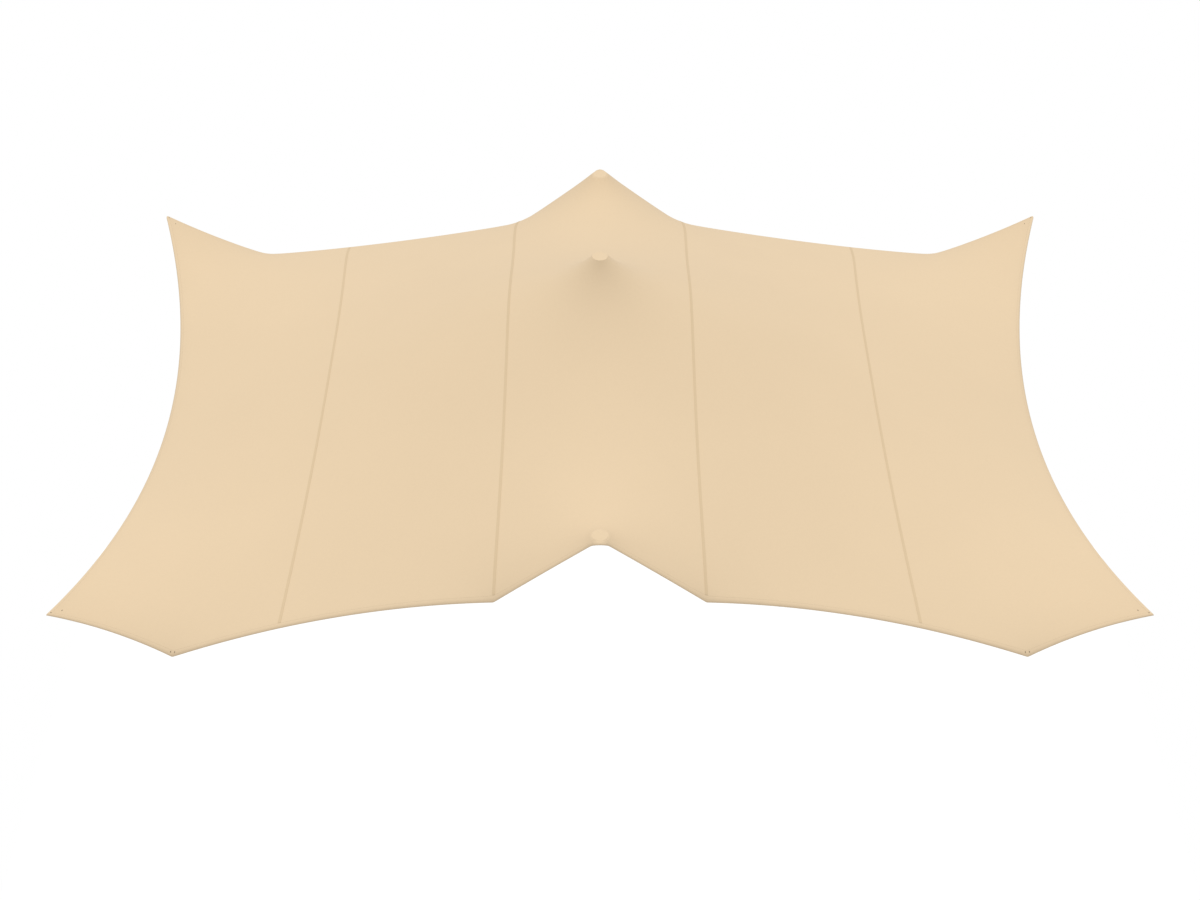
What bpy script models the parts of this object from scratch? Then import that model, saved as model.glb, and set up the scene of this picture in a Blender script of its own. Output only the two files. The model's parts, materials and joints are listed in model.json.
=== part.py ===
"""Canopy of a sand-coloured stretch tent: five fabric panels drawn up over three pole heads and pulled out at
twelve webbing loops. Metres, +Z up, +X across the width, +Y to the back. The origin is the flat end of the king
pole head's plug, where the king pole carries the canopy."""
import math

import bmesh
import bpy
import numpy as np
from mathutils import Matrix, Vector
from mathutils.bvhtree import BVHTree

# The points that hold the edge on the right: distance from the middle across the width, and in depth. The left
# half of the canopy is the mirror image of the right half.
CORNER = (3.75, 2.50)
LOW_POINT = (2.93, 2.53)
SHOULDER = (0.72, 2.40)
EDGE_PEAK = (0.00, 2.38)
KING_RISE = 1.24

# The front and the back edge: rises of those points above the level of the front corners, how far the edge curves
# in between them, and how far each seam spreads on its way from the middle to the edge, along the whole way and
# just before its end
FRONT_EDGE = {
    "peak": 0.524, "shoulder": 0.025, "low": -0.363, "corner": 0.000,
    "long_scallop": 0.119, "short_scallop": 0.043,
    "inner_seam": (0.044, 0.000), "outer_seam": (0.147, 0.000),
}
BACK_EDGE = {
    "peak": 0.563, "shoulder": 0.014, "low": -0.397, "corner": 0.037,
    "long_scallop": 0.045, "short_scallop": 0.026,
    "inner_seam": (0.055, -0.060), "outer_seam": (0.146, -0.035),
}
END_HOOK_POWER = 10

# How far the side edges curve in and hang, and how far the edges up to the peaks curve in
SIDE_INSET = 0.392
SIDE_DIP = 0.281
PEAK_SCALLOP = 0.004

# How far the edge curves back and down beside the middle of an edge peak, as it goes round the pole head
PEAK_ROUNDING = 0.022
PEAK_DROP = 0.025

# The seams run from the front edge to the back edge, closest together in the middle. The inner ones end at the
# shoulders.
OUTER_SEAM = 2.20
OUTER_SEAM_MIDDLE = 2.065
INNER_SEAM_MIDDLE = 0.6805

# How far from the king the cloth pulls harder down the slope than round it, at the back and at the sides of the
# cone, how much harder it pulls along the two ridges beside the king, and how far they reach. The last one is for
# the pole heads at the edges.
KING_BACK_CONE = 0.25
KING_SIDE_CONE = 0.90
KING_RIDGE = 3.4
KING_RIDGE_REACH = 0.80
EDGE_CONE = 0.15

# Cloth. The fabric is modelled thicker than it is, so that it makes a solid.
FABRIC = 0.003
TRIM = 0.002
TAPE = 0.001
TAPE_HALF_WIDTH = 0.012
HEM_WIDTH = 0.030
PATCH_REACH = 0.18
CORNER_PATCH_REACH = 0.36

# Pole head, a turned disc with a plug for the pole
PLATEAU_RADIUS = 0.0575
HEAD_RADIUS = 0.0550
HEAD_THICKNESS = 0.012
PLUG_RADIUS = 0.0175
PLUG_LENGTH = 0.060
HEAD_EDGE = 0.004
HEAD_STEPS = 24
EDGE_HEAD_DEPTH = EDGE_PEAK[1] - HEM_WIDTH - PLATEAU_RADIUS

# Webbing loop for the rope's hook: a strap whose two ends are sewn together under the cloth. Its eye hangs down
# behind the hem, so far from the tip that it stays hidden from above.
WEBBING = 0.0025
STRAP_WIDTH = 0.025
EYE_LENGTH = 0.045
EYE_HEIGHT = 0.032
LOOP_TAIL = 0.078
LOOP_INSET = 0.075
CORNER_LOOP_INSET = 0.120
LOOP_STEPS = 24

GAP = 0.0003
SHARP_ANGLE = math.radians(40)
HEAD_HEIGHT = HEAD_THICKNESS + PLUG_LENGTH
LAYERS_OVER_HEAD = GAP + TRIM + GAP + FABRIC
CORNER_LEVEL = HEAD_HEIGHT + LAYERS_OVER_HEAD - KING_RISE

SAND = (0.755, 0.588, 0.390)
TAPE_SAND = (0.660, 0.516, 0.346)
DOUBLED_SAND = (0.720, 0.562, 0.377)
WEBBING_SAND = (0.420, 0.318, 0.205)
TAN_PLASTIC = (0.400, 0.285, 0.175)


def subdivide(marks, counts):
    """Splits each stretch between two marks into its own number of equal steps."""
    stations = [marks[0]]
    for start, end, count in zip(marks[:-1], marks[1:], counts):
        stations += [start + (end - start) * step / count for step in range(1, count + 1)]
    return np.array(stations)


def between(a, b, share):
    return a + (b - a) * share


def edge_of(x, edge):
    """Depth and rise of the front or back edge at a distance x from the middle."""
    round_peak = min(x / PLATEAU_RADIUS, 1) ** 2
    depth = EDGE_PEAK[1] - PEAK_ROUNDING * round_peak
    rise = edge["peak"] - PEAK_DROP * round_peak
    if x <= PLATEAU_RADIUS:
        return depth, rise
    shoulder = (*SHOULDER, edge["shoulder"])
    low_point = (*LOW_POINT, edge["low"])
    if x <= SHOULDER[0]:
        start, end, scallop = (PLATEAU_RADIUS, depth, rise), shoulder, PEAK_SCALLOP
    elif x <= LOW_POINT[0]:
        start, end, scallop = shoulder, low_point, edge["long_scallop"]
    else:
        start, end, scallop = low_point, (*CORNER, edge["corner"]), edge["short_scallop"]
    share = (x - start[0]) / (end[0] - start[0])
    return between(start[1], end[1], share) - scallop * 4 * share * (1 - share), between(start[2], end[2], share)


# Grid lines across the half width, named so that the pieces can end on them
COLUMN_MARKS = {
    "middle": 0.0,
    "plateau": PLATEAU_RADIUS,
    "peak_patch": PATCH_REACH,
    "shoulder_tape_in": SHOULDER[0] - TAPE_HALF_WIDTH,
    "shoulder": SHOULDER[0],
    "shoulder_tape_out": SHOULDER[0] + TAPE_HALF_WIDTH,
    "shoulder_patch": SHOULDER[0] + PATCH_REACH,
    "seam_tape_in": OUTER_SEAM - TAPE_HALF_WIDTH,
    "seam": OUTER_SEAM,
    "seam_tape_out": OUTER_SEAM + TAPE_HALF_WIDTH,
    "low_patch_in": LOW_POINT[0] - PATCH_REACH,
    "low_point": LOW_POINT[0],
    "low_patch_out": LOW_POINT[0] + PATCH_REACH,
    "corner_patch": CORNER[0] - CORNER_PATCH_REACH,
    "hem": CORNER[0] - HEM_WIDTH,
    "edge": CORNER[0],
}
COLUMN_STEPS = (2, 2, 4, 1, 1, 1, 4, 1, 1, 2, 1, 1, 1, 2, 1)
# Grid lines across the half depth, as shares of the distance from the middle to the edge
ROW_MARKS = {
    "middle": 0.0,
    "plateau": PLATEAU_RADIUS / EDGE_PEAK[1],
    "king_patch": PATCH_REACH / EDGE_PEAK[1],
    "deep_patch": 1 - CORNER_PATCH_REACH / EDGE_PEAK[1],
    "patch": 1 - PATCH_REACH / EDGE_PEAK[1],
    "edge_plateau": 1 - (HEM_WIDTH + 2 * PLATEAU_RADIUS) / EDGE_PEAK[1],
    "hem": 1 - HEM_WIDTH / EDGE_PEAK[1],
    "edge": 1.0,
}
ROW_STEPS = (2, 2, 7, 1, 1, 1, 1)
COLUMNS = subdivide(list(COLUMN_MARKS.values()), COLUMN_STEPS)
ROWS = subdivide(list(ROW_MARKS.values()), ROW_STEPS)
ROW_SHARES = np.concatenate((-ROWS[:0:-1], ROWS))
COLUMN = {name: int(np.abs(COLUMNS - mark).argmin()) for name, mark in COLUMN_MARKS.items()}
ROW = {name: int(np.abs(ROWS - mark).argmin()) for name, mark in ROW_MARKS.items()}
ROUNDED_WITHIN = 0.20
ROUNDED_UNTIL = 0.60


def round_off(x, y):
    """Turns the square rings of grid points about the king peak into round ones."""
    ring = np.maximum(np.abs(x), np.abs(y))
    radius = np.maximum(np.hypot(x, y), 1e-9)
    weight = np.clip((ROUNDED_UNTIL - ring) / (ROUNDED_UNTIL - ROUNDED_WITHIN), 0, 1)
    scale = between(1.0, ring / radius, weight)
    return x * scale, y * scale


def spread_of(seam):
    """How far a seam spreads from its place in the middle, along its length."""
    share = np.abs(ROW_SHARES)
    front, back = (along * share ** 2 + hook * share ** END_HOOK_POWER
                   for along, hook in (FRONT_EDGE[seam], BACK_EDGE[seam]))
    return np.where(ROW_SHARES < 0, front, back)


def lay_out_plan():
    """Plan of the right half's grid points, and the rise of those that something holds."""
    front = np.array([edge_of(x, FRONT_EDGE) for x in COLUMNS])
    back = np.array([edge_of(x, BACK_EDGE) for x in COLUMNS])
    bow = 1 - ROW_SHARES ** 2
    side = CORNER[0] - SIDE_INSET * bow
    seam = OUTER_SEAM_MIDDLE + spread_of("outer_seam")
    inner_seam = INNER_SEAM_MIDDLE + spread_of("inner_seam")
    x = np.zeros((len(COLUMNS), len(ROW_SHARES)))
    for column, station in enumerate(COLUMNS):
        if station <= SHOULDER[0]:
            x[column] = station * between(1.0, inner_seam / SHOULDER[0], min(station / PATCH_REACH, 1))
        elif station <= OUTER_SEAM:
            x[column] = between(inner_seam, seam, (station - SHOULDER[0]) / (OUTER_SEAM - SHOULDER[0]))
        else:
            x[column] = between(seam, side, (station - OUTER_SEAM) / (CORNER[0] - OUTER_SEAM))
    x[COLUMN["hem"]] = side - HEM_WIDTH
    y = np.where(ROW_SHARES < 0, front[:, :1], back[:, :1]) * ROW_SHARES
    rise = np.full(x.shape, np.nan)
    rise[:, 0], rise[:, -1] = front[:, 1], back[:, 1]
    rise[-1] = between(front[-1, 1], back[-1, 1], (ROW_SHARES + 1) / 2) - SIDE_DIP * bow
    middle, plateau = ROW["edge"], COLUMN["plateau"] + 1
    rise[:plateau, middle - ROW["plateau"]:middle + ROW["plateau"] + 1] = KING_RISE
    rise[:plateau, middle + ROW["edge_plateau"]:middle + ROW["hem"] + 1] = BACK_EDGE["peak"]
    rise[:plateau, middle - ROW["hem"]:middle - ROW["edge_plateau"] + 1] = FRONT_EDGE["peak"]
    x, y = round_off(x, y)
    return x, y, rise


def pulled(away, pull):
    """Extra tension of the cloth along the line away from a pole head, as a tensor."""
    down = away / np.maximum(np.linalg.norm(away, axis=-1, keepdims=True), 1e-9)
    return pull[..., None, None] * down[..., :, None] * down[..., None, :]


def tension_at(point):
    """Tension of the cloth at points, as a tensor. Round the pole heads it pulls harder down the slope, at the king
    only down the back and the sides, and most along the ridges that run from the king to either side."""
    distance = np.maximum(np.linalg.norm(point, axis=-1), PLATEAU_RADIUS)
    sideways = (point[..., 0] / distance) ** 2
    cone = between(np.where(point[..., 1] > 0, KING_BACK_CONE, 0.0), KING_SIDE_CONE, sideways)
    ridge = KING_RIDGE * np.exp(-(distance / KING_RIDGE_REACH) ** 2) * sideways
    from_edge_head = point - np.stack((0 * point[..., 0], EDGE_HEAD_DEPTH * np.sign(point[..., 1])), axis=-1)
    edge_cone = EDGE_CONE / np.maximum(np.linalg.norm(from_edge_head, axis=-1), PLATEAU_RADIUS)
    return np.eye(2) + pulled(point, cone / distance + ridge) + pulled(from_edge_head, edge_cone)


def relax(x, y, rise):
    """Heights of the free grid points where the cloth's tension balances. Each cell counts as two triangles, cut
    both ways."""
    columns, rows = rise.shape
    here = np.stack((x, y), axis=-1)
    number = np.arange(rise.size).reshape(rise.shape)
    stiffness = np.zeros((rise.size, rise.size))
    corners = ((0, 0), (1, 0), (1, 1), (0, 1))
    for cut in ((0, 1, 2), (0, 2, 3), (0, 1, 3), (1, 2, 3)):
        spans = [(slice(dx, columns - 1 + dx), slice(dy, rows - 1 + dy)) for dx, dy in (corners[spot] for spot in cut)]
        a, b, c = (here[span] for span in spans)
        run_b, run_c = b - a, c - a
        double_area = run_b[..., 0] * run_c[..., 1] - run_b[..., 1] * run_c[..., 0]
        slopes = []
        for start, end in ((b, c), (c, a), (a, b)):
            run = end - start
            slopes.append(np.stack((-run[..., 1], run[..., 0]), axis=-1) / double_area[..., None])
        tension = tension_at((a + b + c) / 3)
        for span1, slope1 in zip(spans, slopes):
            for span2, slope2 in zip(spans, slopes):
                pull = np.einsum("...i,...ij,...j", slope1, tension, slope2) * double_area / 4
                np.add.at(stiffness, (number[span1], number[span2]), pull)
    settled = rise.ravel().copy()
    free = np.isnan(settled)
    load = -stiffness[free][:, ~free] @ settled[~free]
    settled[free] = np.linalg.solve(stiffness[free][:, free], load)
    return settled.reshape(rise.shape)


PLAN_X, PLAN_Y, HELD_RISE = lay_out_plan()
RISE = relax(PLAN_X, PLAN_Y, HELD_RISE)


def place(column, row):
    """The grid point of a column and a row on the canopy's upper face. Negative ones are left and front."""
    spot = abs(column), row + ROW["edge"]
    return Vector((math.copysign(PLAN_X[spot], column), PLAN_Y[spot], RISE[spot] + CORNER_LEVEL))


def lean(column, row):
    """How much more a layer measures upright than square to the cloth. It is level over the pole heads."""
    if HELD_RISE[abs(column), row + ROW["edge"]] in (KING_RISE, FRONT_EDGE["peak"], BACK_EDGE["peak"]):
        return 1.0
    edge, end = COLUMN["edge"], ROW["edge"]
    across = place(min(column + 1, edge), row) - place(max(column - 1, -edge), row)
    along = place(column, min(row + 1, end)) - place(column, max(row - 1, -end))
    normal = across.cross(along)
    return normal.length / abs(normal.z)


def step_inside(column, row, columns, rows, clear):
    """A grid point, drawn in by the clearance where it lies on the piece's own outline."""
    here = place(column, row)
    moved = here.copy()
    for limits, index, ahead in ((columns, column, (1, 0)), (rows, row, (0, 1))):
        for limit, direction in zip(limits, (1, -1)):
            if index == limit:
                inner = place(column + ahead[0] * direction, row + ahead[1] * direction)
                moved += (inner - here).normalized() * clear
    return moved


def make_material(name, colour, roughness):
    material = bpy.data.materials.new(name)
    material.use_nodes = True
    shader = material.node_tree.nodes["Principled BSDF"]
    shader.inputs["Base Color"].default_value = (*colour, 1)
    shader.inputs["Roughness"].default_value = roughness
    return material


def add_object(name, data, material, collection):
    piece = bpy.data.objects.new(name, data)
    data.materials.append(material)
    collection.objects.link(piece)
    return piece


def lay_sheet(columns, rows, drop, clear):
    """A sheet of triangles over a range of grid cells, a given drop below the canopy's upper face."""
    across, along = columns[1] - columns[0], rows[1] - rows[0]
    sheet = bmesh.new()
    upright = sheet.verts.layers.float.new("upright")
    bmesh.ops.create_grid(sheet, x_segments=across, y_segments=along, size=0.5)
    one_way, other_way = [], []
    for face in sheet.faces:
        middle = face.calc_center_median()
        column = columns[0] + (middle.x + 0.5) * across
        row = rows[0] + (middle.y + 0.5) * along
        same_sign = column * row > 0
        (one_way if same_sign else other_way).append(face)
    for vertex in sheet.verts:
        column = columns[0] + round((vertex.co.x + 0.5) * across)
        row = rows[0] + round((vertex.co.y + 0.5) * along)
        vertex[upright] = lean(column, row)
        vertex.co = step_inside(column, row, columns, rows, clear) - Vector((0, 0, drop * vertex[upright]))
    bmesh.ops.triangulate(sheet, faces=one_way, quad_method="FIXED")
    bmesh.ops.triangulate(sheet, faces=other_way, quad_method="ALTERNATE")
    return sheet


def make_cloth(name, columns, rows, drop, thickness, clear):
    """A piece of cloth: a sheet and its copy below it, joined round their outline."""
    mesh = lay_sheet(columns, rows, drop, clear)
    lower = bmesh.ops.extrude_face_region(mesh, geom=mesh.faces)["geom"]
    upright = mesh.verts.layers.float["upright"]
    for vertex in lower:
        if isinstance(vertex, bmesh.types.BMVert):
            vertex.co.z -= thickness * vertex[upright]
    mesh.verts.layers.float.remove(upright)
    bmesh.ops.recalc_face_normals(mesh, faces=mesh.faces)
    data = bpy.data.meshes.new(name)
    mesh.to_mesh(data)
    mesh.free()
    data.shade_smooth()
    data.set_sharp_from_angle(angle=SHARP_ANGLE)
    return data


def add_panels(material, collection):
    """The five strips of fabric, which meet at the four seams."""
    shoulder, seam, edge = COLUMN["shoulder"], COLUMN["seam"], COLUMN["edge"]
    cuts = {
        "left_end_panel": (-edge, -seam),
        "left_inner_panel": (-seam, -shoulder),
        "centre_panel": (-shoulder, shoulder),
        "right_inner_panel": (shoulder, seam),
        "right_end_panel": (seam, edge),
    }
    rows = (-ROW["edge"], ROW["edge"])
    for name, columns in cuts.items():
        data = make_cloth(name, columns, rows, 0, FABRIC, GAP / 2)
        add_object(name, data, material, collection)


def add_seams(material, collection):
    """The tapes that seal the seams on the upper face, from hem to hem."""
    rows = (-ROW["hem"], ROW["hem"])
    spans = {
        "inner_seam": (COLUMN["shoulder_tape_in"], COLUMN["shoulder_tape_out"]),
        "outer_seam": (COLUMN["seam_tape_in"], COLUMN["seam_tape_out"]),
    }
    for name, (low, high) in spans.items():
        for side, columns in (("left", (-high, -low)), ("right", (low, high))):
            data = make_cloth(f"{side}_{name}", columns, rows, -GAP - TAPE, TAPE, GAP)
            add_object(f"{side}_{name}", data, material, collection)


def add_hems(material, collection):
    """The folded margins under the edges. The front and back ones run right out to the corners."""
    edge, hem = COLUMN["edge"], COLUMN["hem"]
    outer, inner = ROW["edge"], ROW["hem"]
    strips = {
        "front_hem": ((-edge, edge), (-outer, -inner)),
        "back_hem": ((-edge, edge), (inner, outer)),
        "left_hem": ((-edge, -hem), (-inner, inner)),
        "right_hem": ((hem, edge), (-inner, inner)),
    }
    for name, (columns, rows) in strips.items():
        data = make_cloth(name, columns, rows, FABRIC + GAP, TRIM, GAP)
        add_object(name, data, material, collection)


def mirrored(low, high, sign):
    return (low, high) if sign > 0 else (-high, -low)


def add_edge_patches(material, collection):
    """The doubled cloth inside the hems at the corners, the low points and the shoulders."""
    reaches = {
        "corner": ((COLUMN["corner_patch"], COLUMN["hem"]), "deep_patch"),
        "low": ((COLUMN["low_patch_in"], COLUMN["low_patch_out"]), "patch"),
        "shoulder": ((COLUMN["shoulder_tape_in"] - 1, COLUMN["shoulder_patch"]), "patch"),
    }
    for end, depth_sign in (("front", -1), ("back", 1)):
        for side, width_sign in (("left", -1), ("right", 1)):
            for point, (columns, row_mark) in reaches.items():
                name = f"{end}_{side}_{point}_patch"
                data = make_cloth(name, mirrored(*columns, width_sign),
                                 mirrored(ROW[row_mark], ROW["hem"], depth_sign), FABRIC + GAP, TRIM, GAP)
                add_object(name, data, material, collection)


def add_peak_patches(material, collection):
    """The doubled cloth over the three pole heads."""
    across = COLUMN["peak_patch"]
    spans = {
        "front_peak_patch": (-ROW["hem"], -ROW["deep_patch"]),
        "king_patch": (-ROW["king_patch"], ROW["king_patch"]),
        "back_peak_patch": (ROW["deep_patch"], ROW["hem"]),
    }
    for name, rows in spans.items():
        data = make_cloth(name, (-across, across), rows, FABRIC + GAP, TRIM, GAP)
        add_object(name, data, material, collection)


def turned_head():
    """Half section of a pole head, from the middle of its top down its outer side to the plug's flat end."""
    top = HEAD_HEIGHT
    under = top - HEAD_THICKNESS
    section = [
        (0, top),
        (HEAD_RADIUS - HEAD_EDGE, top),
        (HEAD_RADIUS, top - HEAD_EDGE),
        (HEAD_RADIUS, under + HEAD_EDGE),
        (HEAD_RADIUS - HEAD_EDGE, under),
        (PLUG_RADIUS, under),
        (PLUG_RADIUS, HEAD_EDGE),
        (PLUG_RADIUS - HEAD_EDGE, 0),
        (0, 0),
    ]
    data = bpy.data.meshes.new("pole_head")
    data.from_pydata([(x, 0, z) for x, z in section], [(i, i + 1) for i in range(len(section) - 1)], [])
    return data


def add_pole_heads(material, collection):
    """The discs that lift the canopy: on the king pole, and on the poles of the front and back edges."""
    data = turned_head()
    data.materials.append(material)
    spots = {
        "king_pole_head": (0, 0, 0),
        "front_pole_head": (0, -EDGE_HEAD_DEPTH, FRONT_EDGE["peak"] - KING_RISE),
        "back_pole_head": (0, EDGE_HEAD_DEPTH, BACK_EDGE["peak"] - KING_RISE),
    }
    for name, spot in spots.items():
        head = bpy.data.objects.new(name, data)
        collection.objects.link(head)
        head.location = spot
        turn = head.modifiers.new("turn", "SCREW")
        turn.steps = turn.render_steps = HEAD_STEPS
        turn.use_merge_vertices = True
        turn.merge_threshold = 0.0001


def underside_tree():
    """The underside of the doubled cloth, to lay the webbing loops against."""
    edge, end = COLUMN["edge"], ROW["edge"]
    sheet = lay_sheet((-edge, edge), (-end, end), FABRIC + GAP + TRIM, 0)
    tree = BVHTree.FromBMesh(sheet)
    sheet.free()
    return tree


def height_over(tree, x, y):
    return tree.ray_cast(Vector((x, y, KING_RISE)), Vector((0, 0, -1)))[0].z


def loop_frame(tree, tip, inward, inset):
    """Place of a webbing loop: its sewn ends flat against the cloth, its eye towards the tip."""
    across = Vector((-inward.y, inward.x, 0))
    eye = tip + inward * inset
    far = eye + inward * LOOP_TAIL
    left = far + across * STRAP_WIDTH / 2
    right = far - across * STRAP_WIDTH / 2
    for spot in (eye, far, left, right):
        spot.z = height_over(tree, spot.x, spot.y)
    length_axis = (far - eye).normalized()
    normal = length_axis.cross((right - left).normalized()).normalized()
    if normal.z < 0:
        normal = -normal
    width_axis = length_axis.cross(normal)
    clearances = []
    for along in np.linspace(0, LOOP_TAIL, 13):
        for beside in np.linspace(-STRAP_WIDTH / 2, STRAP_WIDTH / 2, 5):
            point = eye + length_axis * along + width_axis * beside
            clearances.append(height_over(tree, point.x, point.y) - point.z)
    drop = GAP / normal.z - min(clearances)
    axes = Matrix((length_axis, normal, width_axis)).transposed().to_4x4()
    return Matrix.Translation(eye - Vector((0, 0, drop))) @ axes


def loop_bend(grown):
    """Side view of the strap's bend from the top of the eye round its tip side and bottom, to its inner side.
    The eye's own bend has grown 0, and the strap's outer face follows it at the thickness of the webbing."""
    half_length = EYE_LENGTH / 2 + grown
    half_height = EYE_HEIGHT / 2 + grown
    points = []
    for step in range(LOOP_STEPS + 1):
        angle = between(math.pi / 2, 2 * math.pi, step / LOOP_STEPS)
        points.append((half_length * math.cos(angle), half_height * (math.sin(angle) - 1) + grown - WEBBING))
    return points


def loop_outline():
    """Side view of a webbing loop, its top at zero: round the bend, and in along the two sewn ends."""
    under = -2 * WEBBING
    return loop_bend(WEBBING) + [(EYE_LENGTH / 2 + WEBBING, under), (LOOP_TAIL, under), (LOOP_TAIL, 0)]


def loop_eye():
    """Side view of the eye inside a webbing loop."""
    return loop_bend(0) + [(EYE_LENGTH / 2, -WEBBING)]


def loop_curve():
    curve = bpy.data.curves.new("webbing_loop", "CURVE")
    curve.dimensions = "2D"
    curve.fill_mode = "BOTH"
    curve.extrude = STRAP_WIDTH / 2
    for outline in (loop_outline(), loop_eye()):
        spline = curve.splines.new("POLY")
        spline.points.add(len(outline) - 1)
        for point, (x, y) in zip(spline.points, outline):
            point.co = (x, y, 0, 1)
        spline.use_cyclic_u = True
    return curve


def add_loops(material, collection):
    """The webbing loops that the ropes hook into, sewn under the tips of the edge."""
    tree = underside_tree()
    curve = loop_curve()
    curve.materials.append(material)
    tips = {"corner": COLUMN["edge"], "low": COLUMN["low_point"], "shoulder": COLUMN["shoulder"]}
    for end, depth_sign in (("front", -1), ("back", 1)):
        for side, width_sign in (("left", -1), ("right", 1)):
            for point, column in tips.items():
                tip = place(width_sign * column, depth_sign * ROW["edge"])
                inward = Vector((0, -depth_sign, 0))
                inset = LOOP_INSET
                if point == "corner":
                    along_side = place(width_sign * column, depth_sign * ROW["patch"]) - tip
                    along_end = place(width_sign * COLUMN["corner_patch"], depth_sign * ROW["edge"]) - tip
                    halfway = along_side.to_2d().normalized() + along_end.to_2d().normalized()
                    inward = halfway.normalized().to_3d()
                    inset = CORNER_LOOP_INSET
                loop = bpy.data.objects.new(f"{end}_{side}_{point}_loop", curve)
                collection.objects.link(loop)
                loop.matrix_world = loop_frame(tree, tip, inward, inset)


def main():
    for old in list(bpy.data.objects):
        bpy.data.objects.remove(old, do_unlink=True)
    canopy = bpy.data.collections.new("stretch_tent_canopy")
    bpy.context.scene.collection.children.link(canopy)
    fabric = make_material("sand_stretch_fabric", SAND, 0.85)
    tape = make_material("seam_tape", TAPE_SAND, 0.70)
    hem = make_material("hem_fabric", SAND, 0.85)
    doubled = make_material("doubled_fabric", DOUBLED_SAND, 0.90)
    webbing = make_material("woven_webbing", WEBBING_SAND, 0.80)
    plastic = make_material("tan_plastic", TAN_PLASTIC, 0.50)
    add_panels(fabric, canopy)
    add_seams(tape, canopy)
    add_hems(hem, canopy)
    add_edge_patches(doubled, canopy)
    add_peak_patches(doubled, canopy)
    add_pole_heads(plastic, canopy)
    add_loops(webbing, canopy)


main()
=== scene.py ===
"""Looks of the stretch tent canopy, built round its CAD model. Metres, +Z up, +X across the width, +Y to the back.
The cloth is one tensioned surface, worked out on a fine grid and cut into the five panels along their seams."""
import json
import math

import bmesh
import bpy
import numpy as np
from mathutils import Matrix, Vector
from mathutils.bvhtree import BVHTree

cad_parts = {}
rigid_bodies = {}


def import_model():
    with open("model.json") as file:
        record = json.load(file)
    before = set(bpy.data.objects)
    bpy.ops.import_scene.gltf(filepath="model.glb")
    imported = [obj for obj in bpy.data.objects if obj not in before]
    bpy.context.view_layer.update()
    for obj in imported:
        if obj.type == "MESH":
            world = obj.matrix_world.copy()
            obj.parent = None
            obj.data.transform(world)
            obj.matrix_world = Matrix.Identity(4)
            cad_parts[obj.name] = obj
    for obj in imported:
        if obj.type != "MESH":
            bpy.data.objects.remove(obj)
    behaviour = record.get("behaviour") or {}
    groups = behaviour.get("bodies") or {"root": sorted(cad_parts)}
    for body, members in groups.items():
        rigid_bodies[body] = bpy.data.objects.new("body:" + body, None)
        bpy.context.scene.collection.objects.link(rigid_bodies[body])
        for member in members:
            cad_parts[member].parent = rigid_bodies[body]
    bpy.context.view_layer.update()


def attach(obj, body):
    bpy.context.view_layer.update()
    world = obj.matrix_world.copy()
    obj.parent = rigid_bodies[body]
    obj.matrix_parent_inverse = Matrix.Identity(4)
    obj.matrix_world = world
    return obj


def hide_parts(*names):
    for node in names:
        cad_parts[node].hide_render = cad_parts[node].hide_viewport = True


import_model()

# A divisor is never smaller than this
TINY = 1e-12

# Points that hold the edge on the right, as in the CAD source: distance from the middle across the width, and in
# depth
CORNER = (3.75, 2.50)
LOW_POINT = (2.93, 2.53)
SHOULDER = (0.72, 2.40)
EDGE_PEAK = (0.00, 2.38)
KING_RISE = 1.24

# The front and the back edge: rises of those points above the level of the front corners, how far the edge curves
# in between them, and how far each seam spreads on its way from the middle to the edge, along the whole way and
# just before its end
FRONT_EDGE = {
    "peak": 0.524, "shoulder": 0.025, "low": -0.363, "corner": 0.000,
    "long_scallop": 0.119, "short_scallop": 0.043,
    "inner_seam": (0.044, 0.000), "outer_seam": (0.147, 0.000),
}
BACK_EDGE = {
    "peak": 0.563, "shoulder": 0.014, "low": -0.397, "corner": 0.037,
    "long_scallop": 0.045, "short_scallop": 0.026,
    "inner_seam": (0.055, -0.060), "outer_seam": (0.146, -0.035),
}
END_HOOK_POWER = 10

# How far the side edges curve in and sag, and how the front and back edges run over their pole heads
SIDE_INSET = 0.392
SIDE_DIP = 0.281
PEAK_SCALLOP = 0.004
PEAK_ROUNDING = 0.022
PEAK_DROP = 0.025

# Where the outer seam lies in the grid, and where the seams lie halfway between front and back
OUTER_SEAM = 2.20
OUTER_SEAM_MIDDLE = 2.065
INNER_SEAM_MIDDLE = 0.6805

# Extra tension of the cloth: down the slope behind and beside the king's head, along the ridges that run from it to
# either side, with their reach, and down the slope from the heads at the edges
KING_BACK_CONE = 0.25
KING_SIDE_CONE = 0.90
KING_RIDGE = 3.4
KING_RIDGE_REACH = 0.80
EDGE_CONE = 0.15

# Cloth and its layers
FABRIC = 0.003
TRIM = 0.002
TAPE = 0.001
GAP = 0.0003
TAPE_HALF_WIDTH = 0.010
HEM_WIDTH = 0.030
PATCH_REACH = 0.18
SHOULDER_PATCH_INNER_REACH = 0.144
CORNER_PATCH_REACH = 0.36
PATCH_ROUNDING = 0.03

# Pole heads
PLATEAU_RADIUS = 0.0575
HEAD_RADIUS = 0.0550
HEAD_THICKNESS = 0.012
PLUG_RADIUS = 0.0175
PLUG_LENGTH = 0.060
EDGE_HEAD_DEPTH = EDGE_PEAK[1] - HEM_WIDTH - PLATEAU_RADIUS
HEAD_HEIGHT = HEAD_THICKNESS + PLUG_LENGTH
LAYERS_OVER_HEAD = GAP + TRIM + GAP + FABRIC
CORNER_LEVEL = HEAD_HEIGHT + LAYERS_OVER_HEAD - KING_RISE

# Webbing loops
WEBBING = 0.0025
STRAP_WIDTH = 0.025
EYE_LENGTH = 0.045
EYE_HEIGHT = 0.032
LOOP_TAIL = 0.078
LOOP_INSET = 0.075
CORNER_LOOP_INSET = 0.120

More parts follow.
